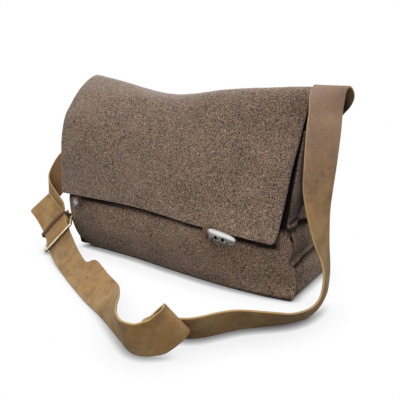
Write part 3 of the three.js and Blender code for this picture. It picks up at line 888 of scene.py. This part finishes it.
def loft(rings, closed):
    n = len(rings[0])
    points = [p for ring in rings for p in ring]
    faces = []
    for i in range(len(rings) if closed else len(rings) - 1):
        following = (i + 1) % len(rings)
        for j in range(n):
            k = (j + 1) % n
            faces.append((i * n + j, i * n + k, following * n + k, following * n + j))
    if not closed:
        faces.append(tuple(range(n - 1, -1, -1)))
        faces.append(tuple((len(rings) - 1) * n + j for j in range(n)))
    return points, faces


def bore(piece, cutters, radius, reach):
    # Holes of a given radius cut clean through the piece, along the given directions.
    points, faces = [], []
    for centre, direction in cutters:
        side = direction.orthogonal().normalized()
        other = direction.cross(side).normalized()
        ring = [centre + (side * math.cos(a) + other * math.sin(a)) * radius
                for a in ring_angles(BORE_SIDES)]
        ends = [[p + direction * end for p in ring] for end in (-reach, reach)]
        pin, pin_faces = loft(ends, False)
        faces += [tuple(len(points) + k for k in face) for face in pin_faces]
        points += pin
    cutter = new_object("cutter", points, [], faces)
    cut = piece.modifiers.new("holes", "BOOLEAN")
    cut.operation = "DIFFERENCE"
    cut.solver = "EXACT"
    cut.object = cutter
    settle(piece, cut)
    bpy.data.objects.remove(cutter)
    piece.data.set_sharp_from_angle(angle=math.radians(BORE_ANGLE))


# Nubuck nap: clouds of olive and orange tan, short nap, pale scuffs and dark rubbed spots.
nap_group, nap_place, nap_scale = new_group(
    "leather_nap", "Nap Scale", 900.0, ("Cloud", "Warm", "Nap", "Scuff", "Spot", "Height"))
nap_fine = noise_node(nap_place, nap_scale, 3.0, 0.65)
nap_scuff = noise_node(nap_place, 150.0, 5.0, 0.7)
add_node(nap_group, "NodeGroupOutput", {
    "Cloud": noise_node(nap_place, 34.0, 5.0, 0.65), "Nap": nap_fine,
    "Warm": range_node(noise_node(nap_place, 38.0, 4.0, 0.6), 0.47, 0.64),
    "Scuff": range_node(nap_scuff, 0.46, 0.68),
    "Spot": range_node(noise_node(nap_place, 75.0, 6.0, 0.7), 0.58, 0.74),
    "Height": math_node("ADD", nap_fine, nap_scuff)})


def tan_leather(name, deep, light, warm, upper_tone, inside, cut, rough):
    # High up the leather takes a tone of its own, and its very top is painted darker as shade.
    material, tree, shader = new_material(name)
    nap = use_group(tree, nap_group)
    spot = add_node(tree, "ShaderNodeSeparateXYZ", {"Vector": object_place(tree)})
    pale = tuple(1.4 * c + 0.1 for c in light)
    dim = tuple(0.55 * c for c in upper_tone)
    tone = math_node("ADD", range_node(nap["Cloud"], 0.36, 0.64),
                     range_node(nap["Nap"], 0.3, 0.7, -0.25, 0.25))
    colour = layered(mix_node(tone, deep, light), [
        (nap["Warm"], 0.7, warm),
        (range_node(spot.outputs["Z"], *UPPER_TONE_HEIGHTS), 0.7, upper_tone),
        (nap["Scuff"], 0.22, pale),
        (nap["Spot"], 0.45, deep),
        (range_node(nap["Nap"], 0.4, 0.6), 0.34, deep),
        (range_node(spot.outputs["Z"], *TOP_HEIGHTS), 0.6, dim),
        # The flesh side takes its own more orange tone, deepened by painted shade since it mostly
        # faces in.
        (marked(tree, "flesh_side"), 0.8, inside),
        (marked(tree, "cut_edge"), 0.8, cut),
        (marked(tree, "painted_shade"), SHADE_STRENGTH, SHADE_COLOUR)])
    fill(shader, {"Base Color": colour, "Normal": bump(nap["Height"], 0.35, 0.0003),
                  "Roughness": range_node(nap["Cloud"], 0.2, 0.8, rough + 0.08, rough - 0.08),
                  "Specular IOR Level": 0.2, "Sheen Weight": 0.06, "Sheen Roughness": 0.6})
    return material


strap_leather = tan_leather(
    "strap_leather", (0.19, 0.105, 0.035), (0.37, 0.23, 0.093), (0.34, 0.16, 0.045),
    (0.30, 0.198, 0.155), (0.165, 0.084, 0.028), (0.44, 0.295, 0.125), 0.62)
strap_long, long_points, long_flesh = strap_piece("long_strap", LONG_ROWS, TAIL_CORNERS)
mark(strap_long, "painted_shade",
     [inner_side * smooth_step(p.z, *ROLL_HEIGHTS) * (1 - smooth_step(p.x, *ROLL_REACH))
      for p, inner_side in zip(long_points, long_flesh)])
punched = []
for back_from_end, share in STRAP_HOLES:
    station = len(LONG_ROWS) - 1 - back_from_end
    spot, face = strap_place(LONG_ROWS, station, share, -AHEAD)
    punched.append((spot, -face))
bore(strap_long, punched, PUNCH_RADIUS, PUNCH_REACH)
dress(strap_long, "strap_long")

# Short strap
# The other half of the shoulder strap: turned round the heel bar of the buckle and sewn to
# itself, standing out to the left of the bag and sewn on the back panel at its other end.
FRAME_LENGTH = 22.0
FRAME_HALF = 29.5
HEEL_DROP = 2 * BAR + 2 * LEATHER + 4.5 * GAP
STRAP_HALF = 24.0
SHORT_SHIFT = 0.8
TURN = BAR + 1.5 * GAP + LEATHER / 2
TURN_SLOPE = TURN * 0.71


def frame_point(run, across, face):
    return BAR_CENTRE + FRAME_RUN * run + BAR_AXIS * across + FRAME_FACE * face


heel = frame_point(FRAME_LENGTH, 0, -HEEL_DROP)


def around_heel(run, face):
    return cross_row(heel + TAIL_RUN * run + FRAME_FACE * face, SHORT_SHIFT, STRAP_HALF)


SHORT_ROWS = [
    around_heel(20, -TURN),
    around_heel(8, -TURN),
    around_heel(0, -TURN),
    around_heel(-TURN_SLOPE, -TURN_SLOPE),
    around_heel(-TURN, 0),
    around_heel(-TURN_SLOPE, TURN_SLOPE),
    around_heel(0, TURN),
    around_heel(8, TURN),
    around_heel(16, TURN),
    [-232.9, -81.2, 31, -208, -65.4, 68.3],
    [-248, -70, 37.1, -228.3, -58.5, 78.7],
    [-256.1, -56.3, 42.9, -247.3, -53, 89.9],
    [-255, -44, 52.6, -262.4, -42, 100.2],
    [-244.3, -34, 67.3, -263.3, -30, 116],
    [-234.9, -18, 87.1, -259.1, -16, 131.4],
    [-218, 10, 108, -246, 8, 150],
    [-199, 42, 124, -223, 38, 168],
    [-172, 60, 137, -191, 54, 182],
    on_back(-148, 145, -146, 191, 1.5),
    on_back(-118, 152, -112, 199, 0.6),
]
strap_short = strap_piece("short_strap", SHORT_ROWS)[0]
dress(strap_short, "strap_short")

# Strap stitches
# Running stitches of waxed linen thread: a box of them holds the end of each strap to the
# back panel, and one row across the short strap holds its turned end behind the buckle.
STITCH_PITCH = 6.5
STITCH_LONG = 4.4
STITCH_THICK = 1.2
STITCH_SINK = 0.1
BOX_ENDS = (0.13, 0.82)
BOX_SIDES = (0.11, 0.89)
TURN_ROW = 0.35
SEAM_CUTS = 12

thread, thread_tree, thread_shader = new_material("linen_thread")
thread_twist = noise_node(object_place(thread_tree), 1800.0, 2.0, 0.6)
fill(thread_shader, {
    "Base Color": mix_node(range_node(thread_twist, 0.35, 0.65),
                           (0.028, 0.016, 0.009), (0.10, 0.06, 0.034)),
    "Normal": bump(thread_twist, 0.5, 0.0002), "Roughness": 0.7})

stitch_tree = bpy.data.node_groups.new("running_stitches", "GeometryNodeTree")
stitch_sockets = {}
for label, kind in (("Path", "Geometry"), ("Pitch", "Float"), ("Length", "Float"),
                    ("Thickness", "Float"), ("Thread", "Material")):
    socket = stitch_tree.interface.new_socket(
        label, in_out="INPUT", socket_type="NodeSocket" + kind)
    stitch_sockets[label] = socket.identifier
stitch_tree.interface.new_socket(
    "Stitches", in_out="OUTPUT", socket_type="NodeSocketGeometry")
stitch_in = stitch_tree.nodes.new("NodeGroupInput").outputs
stitch_curve = add_node(stitch_tree, "GeometryNodeMeshToCurve", {"Mesh": stitch_in["Path"]})
stitch_spaced = stitch_tree.nodes.new("GeometryNodeResampleCurve")
stitch_spaced.mode = "LENGTH"
fill(stitch_spaced, {"Curve": stitch_curve.outputs["Curve"], "Length": stitch_in["Pitch"]})
stitch_way = stitch_tree.nodes.new("GeometryNodeInputTangent")
stitch_turn = stitch_tree.nodes.new("FunctionNodeAlignRotationToVector")
stitch_turn.axis = "X"
fill(stitch_turn, {"Vector": stitch_way.outputs["Tangent"]})
stitch_bead = add_node(stitch_tree, "GeometryNodeMeshUVSphere",
                       {"Segments": 8, "Rings": 6, "Radius": 0.5})
stitch_size = add_node(stitch_tree, "ShaderNodeCombineXYZ", {
    "X": stitch_in["Length"], "Y": stitch_in["Thickness"], "Z": stitch_in["Thickness"]})
stitch_set = add_node(stitch_tree, "GeometryNodeInstanceOnPoints", {
    "Points": stitch_spaced.outputs["Curve"], "Instance": stitch_bead.outputs["Mesh"],
    "Rotation": stitch_turn.outputs["Rotation"], "Scale": stitch_size.outputs["Vector"]})
stitch_real = add_node(stitch_tree, "GeometryNodeRealizeInstances",
                       {"Geometry": stitch_set.outputs["Instances"]})
stitch_dye = add_node(stitch_tree, "GeometryNodeSetMaterial", {
    "Geometry": stitch_real.outputs["Geometry"], "Material": stitch_in["Thread"]})
add_node(stitch_tree, "NodeGroupOutput", {"Stitches": stitch_dye.outputs["Geometry"]})


def sewn_line(rows, start, end):
    # Places on the outer face of a strap, between two stations and shares of its width.
    path = []
    for k in range(SEAM_CUTS + 1):
        station, share = (a + (b - a) * k / SEAM_CUTS for a, b in zip(start, end))
        spot, face = strap_place(rows, station, share, AHEAD)
        path.append(spot - face * (STRAP_THICK / 2 + STITCH_SINK))
    return path


def sewn_box(rows, first, last):
    near, far = BOX_SIDES
    corners = [(first, near), (first, far), (last, far), (last, near)]
    path = []
    for start, end in zip(corners, corners[1:] + corners[:1]):
        path += sewn_line(rows, start, end)[:-1]
    return path + path[:1]


def sew(name, path):
    piece = new_object(name, path, [(k, k + 1) for k in range(len(path) - 1)], [])
    sewing = piece.modifiers.new("stitches", "NODES")
    sewing.node_group = stitch_tree
    for label, value in (("Pitch", MM * STITCH_PITCH), ("Length", MM * STITCH_LONG),
                         ("Thickness", MM * STITCH_THICK), ("Thread", thread)):
        sewing[stitch_sockets[label]] = value
    settle(piece, sewing)
    piece.data.shade_smooth()
    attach(piece, "root")


short_last = len(SHORT_ROWS) - 1
sew("stitches_long_strap", sewn_box(LONG_ROWS, *BOX_ENDS))
sew("stitches_short_strap",
    sewn_box(SHORT_ROWS, short_last - BOX_ENDS[1], short_last - BOX_ENDS[0]))
sew("stitches_turned_end",
    sewn_line(SHORT_ROWS, (TURN_ROW, BOX_SIDES[0]), (TURN_ROW, BOX_SIDES[1])))

# Buckle frame
# Brass wire bent to an oblong ring with round corners; the strap's end passes under its
# front bar, and the short strap is sewn round its heel bar.
WIRE_SIDES = 16
WIRE_WIDE = 2.7
WIRE_CORNER = 3.5
WIRE_STEPS = (8, 12)
# Where round the wire's section the painted shade and dark reflection begin and become full.
UNDERSIDE_SHADE = (-0.35, 0.5)


def bent_ring(corners, radius, arc_steps, side_steps, section):
    # A closed ring through the corners, which are rounded, with the section swept along it.
    path = []
    for k, corner in enumerate(corners):
        before, after = corners[k - 1], corners[(k + 1) % len(corners)]
        a = corner.lerp(before, radius / (corner - before).length)
        b = corner.lerp(after, radius / (corner - after).length)
        for j in range(arc_steps + 1):
            t = j / arc_steps
            path.append(a * (1 - t) ** 2 + corner * 2 * t * (1 - t) + b * t * t)
        ahead = after.lerp(corner, radius / (corner - after).length)
        path += [b.lerp(ahead, j / side_steps) for j in range(1, side_steps)]
    normal = (corners[1] - corners[0]).cross(corners[2] - corners[1]).normalized()
    rings = []
    for k, p in enumerate(path):
        ahead = (path[(k + 1) % len(path)] - path[k - 1]).normalized()
        out = normal.cross(ahead).normalized()
        rings.append([p + out * u + normal * v for u, v in section])
    return rings


brass, brass_tree, brass_shader = new_material("worn_brass")
brass_stain = noise_node(object_place(brass_tree), 180.0, 4.0, 0.6)
brass_clean = mix_node(range_node(brass_stain, 0.4, 0.65), (0.96, 0.87, 0.64), (0.62, 0.48, 0.26))
fill(brass_shader, {
    "Base Color": mix_node(marked(brass_tree, "underside_shade"), brass_clean, (0.06, 0.04, 0.022)),
    "Roughness": range_node(brass_stain, 0.3, 0.7, 0.18, 0.42), "Metallic": 1.0})

wire = [(WIRE_WIDE * math.cos(a), BAR * math.sin(a)) for a in ring_angles(WIRE_SIDES)]
frame_corners = [frame_point(0, -FRAME_HALF, 0), frame_point(0, FRAME_HALF, 0),
                 frame_point(FRAME_LENGTH, FRAME_HALF, -HEEL_DROP),
                 frame_point(FRAME_LENGTH, -FRAME_HALF, -HEEL_DROP)]
wire_rings = bent_ring(frame_corners, WIRE_CORNER, *WIRE_STEPS, wire)
buckle = make_piece("brass_buckle", *loft(wire_rings, True), brass)
# Painted shade and dark reflection on the wire's underside and sides; its top stays bright.
mark(buckle, "underside_shade",
     [smooth_step(-rise / BAR, *UNDERSIDE_SHADE) for side, rise in wire] * len(wire_rings))
dress(buckle, "buckle_frame")

# Keeper
# A narrow band of dark brown leather round the strap's end and the doubled short strap
# just behind the buckle; its ends meet underneath.
KEEPER_RUN = 9.0
KEEPER_WIDE = 6.0
KEEPER_THICK = 1.6
KEEPER_BOW = 1.4
KEEPER_CORNER = 1.8
KEEPER_STEPS = (6, 8)
# Strength of the painted shade on the keeper below its top, and the drop over which it fades in.
KEEPER_SHADE = 0.75
KEEPER_SHADE_DROP = (-5, -1.2)
BAND_ROUND = 0.55
BAND_SWELL = 0.1
keeper_high = HEEL_DROP - BILLET_DROP + STRAP_THICK / 2 + GAP + KEEPER_THICK / 2
keeper_low = -TURN - LEATHER / 2 - GAP - KEEPER_THICK / 2


def band_section(wide, thick):
    a, b, r = thick / 2, wide / 2, BAND_ROUND
    return [(-a + r, -b), (0, -b), (a - r, -b), (a, -b + r), (a, -b / 2), (a + BAND_SWELL, 0),
            (a, b / 2), (a, b - r), (a - r, b), (0, b), (-a + r, b), (-a, b - r), (-a, 0),
            (-a, -b + r)]


# across the strap, height off the doubled strap, bow along the strap
keeper_corners = [heel + TAIL_RUN * (KEEPER_RUN + bow) + BAR_AXIS * across + FRAME_FACE * face
                  for across, face, bow in (
                      (-25.0, keeper_low, 0), (26.2, keeper_low, 0), (26.2, keeper_high - 5, 0),
                      (23.6, keeper_high, 0), (-2.0, keeper_high + 0.6, KEEPER_BOW),
                      (-27.3, keeper_high, 0), (-27.1, keeper_high - 5.4, 0))]
keeper_leather = tan_leather(
    "keeper_leather", (0.055, 0.022, 0.012), (0.15, 0.068, 0.036), (0.12, 0.05, 0.026),
    (0.12, 0.05, 0.026), (0.05, 0.02, 0.011), (0.05, 0.02, 0.011), 0.5)
keeper_rings = bent_ring(keeper_corners, KEEPER_CORNER, *KEEPER_STEPS,
                         band_section(KEEPER_WIDE, KEEPER_THICK))
keeper = make_piece("leather_keeper", *loft(keeper_rings, True), keeper_leather)
# Painted shade over the keeper below its top, standing for the dark slot round its sides.
mark(keeper, "painted_shade",
     [KEEPER_SHADE * (1 - smooth_step((p - heel).dot(FRAME_FACE) - keeper_high, *KEEPER_SHADE_DROP))
      for ring in keeper_rings for p in ring])
dress(keeper, "keeper")

# Toggles
# Two slips of pale horn, sawn and rubbed smooth, slightly bowed, with two holes bored
# through the face of each; they close the flap at its lower edge.
TOGGLE_LENGTH = 40.0
TOGGLE_SECTION = [
    # along, half height, half depth
    [0, 4.0, 2.2], [0.05, 6.0, 3.4], [0.16, 7.1, 4.4], [0.35, 7.5, 4.9],
    [0.6, 7.3, 4.9], [0.82, 6.5, 4.2], [0.95, 5.0, 3.2], [1, 3.0, 1.8],
]
TOGGLE_SIDES = 28
TOGGLE_CUTS = 40
TOGGLE_SQUARE = 2.7
TOGGLE_TRIM = 0.94
TOGGLE_BOW = 1.2
# Roughness of the sawn face, what the outside adds to it, and where that starts and ends.
TOGGLE_ROUGH = (0.2, 0.5)
ROUGH_FROM = (-0.1, 0.6)
ROUGH_GRAIN = (4.0, 2.5, 2.5)
TOGGLES = [
    # side, place, turn, dip, how far the dark rough outside reaches up, high on the left toggle as
    # painted shade
    ("left", Vector((-139.3, -102.9, 87.2)), -0.76, -0.17, 0.9),
    ("right", Vector((98.7, -97.6, 84.9)), 0.0, 0.12, 0.25),
]
TOGGLE_HOLES = (-4.2, 5.8)
HOLE_RADIUS = 2.1
HOLE_REACH = 12.0
HOLE_MARK = HOLE_RADIUS + 0.05


def turned(p, yaw, dip, at):
    x = p.x * math.cos(dip) + p.z * math.sin(dip)
    z = p.z * math.cos(dip) - p.x * math.sin(dip)
    return at + Vector((x * math.cos(yaw) - p.y * math.sin(yaw),
                        x * math.sin(yaw) + p.y * math.cos(yaw), z))


def toggle_rings(yaw, dip, at):
    # The sawn upper face is smooth, and the lower side keeps the rough outside of the horn.
    rings, rise = [], []
    for k in range(TOGGLE_CUTS + 1):
        along = (1 - math.cos(math.pi * k / TOGGLE_CUTS)) / 2
        high, deep = table_at(TOGGLE_SECTION, along)[1:]
        bow = TOGGLE_BOW * (1 - (2 * along - 1) ** 2)
        ring = []
        for a in ring_angles(TOGGLE_SIDES):
            c, s = math.cos(a), math.sin(a)
            size = (abs(c) ** TOGGLE_SQUARE + abs(s) ** TOGGLE_SQUARE) ** (-1 / TOGGLE_SQUARE)
            p = Vector(((along - 0.5) * TOGGLE_LENGTH, deep * TOGGLE_TRIM * c * size - bow,
                        high * TOGGLE_TRIM * s * size))
            rough = TOGGLE_ROUGH[0] + TOGGLE_ROUGH[1] * smooth_step(-s, *ROUGH_FROM)
            grain = Vector([value / scale for value, scale in zip(p, ROUGH_GRAIN)])
            p += Vector((0, c, s)) * rough * noise.noise(grain + at)
            ring.append(turned(p, yaw, dip, at))
            rise.append(s * size)
        rings.append(ring)
    return rings, rise


horn, horn_tree, horn_shader = new_material("pale_horn")
horn_lay = add_node(horn_tree, "ShaderNodeMapping", {
    "Vector": object_place(horn_tree), "Scale": (0.25, 1.0, 1.6)})
horn_streak = noise_node(horn_lay.outputs["Vector"], 260.0, 4.0, 0.6)
horn_pit = noise_node(object_place(horn_tree), 620.0, 2.0, 0.6)
horn_rise = marked(horn_tree, "rise")
# Painted highlight: a pale band along the upper front of each toggle, where light from above
# catches it.
horn_highlight = math_node("MULTIPLY", range_node(horn_rise, 0.1, 0.4),
                       range_node(horn_rise, 0.95, 0.6))
# Pitted pale grey and near-black on the lower side's rough outside; the near-black is painted
# shade.
horn_pitted = mix_node(range_node(horn_pit, 0.45, 0.62), (0.012, 0.011, 0.01), (0.45, 0.44, 0.42))
horn_sawn = mix_node(range_node(horn_streak, 0.35, 0.65), (0.07, 0.066, 0.062), (0.34, 0.33, 0.32))
horn_colour = layered(horn_sawn, [
    (horn_highlight, 0.75, (0.78, 0.77, 0.75)),
    (range_node(horn_rise, -0.15, -0.55), 1.0, horn_pitted),
    (range_node(marked(horn_tree, "hole_shade"), 0.55, 0.95), 1.0, (0.006, 0.005, 0.004))])
fill(horn_shader, {
    "Base Color": horn_colour, "Normal": bump(horn_streak, 0.6, 0.0006),
    "Roughness": range_node(horn_streak, 0.3, 0.7, 0.45, 0.22)})

for side, at, yaw, dip, rough in TOGGLES:
    toggle_shape, toggle_rise = toggle_rings(yaw, dip, at)
    toggle = make_piece("horn_toggle_" + side, *loft(toggle_shape, False), horn)
    mark(toggle, "rise", [rise - rough for rise in toggle_rise])
    through = turned(Vector((0, 1, 0)), yaw, dip, Vector())
    holes = [turned(Vector((x, -1.0, 0)), yaw, dip, at) for x in TOGGLE_HOLES]
    bore(toggle, [(hole, through) for hole in holes], HOLE_RADIUS, HOLE_REACH)
    # The walls of the holes are painted near-black as shade.
    hole_shade = []
    for vertex in toggle.data.vertices:
        off = min((vertex.co / MM - hole).cross(through).length for hole in holes)
        hole_shade.append(float(off < HOLE_MARK))
    mark(toggle, "hole_shade", hole_shade)
    dress(toggle, "toggle_" + side)

# Toggle loops
# A short thong of orange-brown leather at the flap's lower edge, closed in a ring round
# the end of each toggle.
LOOP_WIDE = 6.0
LOOP_THICK = 1.6
LOOP_ALONG = -20.2
LOOP_HIGH = 6.9
LOOP_DEEP = 6.4
LOOP_CORNER = 4.0
LOOP_STEPS = (8, 3)
loop_leather = tan_leather(
    "loop_leather", (0.05, 0.022, 0.01), (0.24, 0.12, 0.056), (0.2, 0.078, 0.03),
    (0.2, 0.09, 0.035), (0.16, 0.07, 0.028), (0.16, 0.07, 0.028), 0.6)
for side, at, yaw, dip, rough in TOGGLES:
    loop_corners = [turned(Vector((LOOP_ALONG, y * LOOP_DEEP, z * LOOP_HIGH)), yaw, dip, at)
                    for y, z in ((-1, -1), (1, -1), (1, 1), (-1, 1))]
    loop_rings = bent_ring(loop_corners, LOOP_CORNER, *LOOP_STEPS,
                           band_section(LOOP_WIDE, LOOP_THICK))
    loop = make_piece("leather_loop_" + side, *loft(loop_rings, True), loop_leather)
    dress(loop, "loop_" + side)
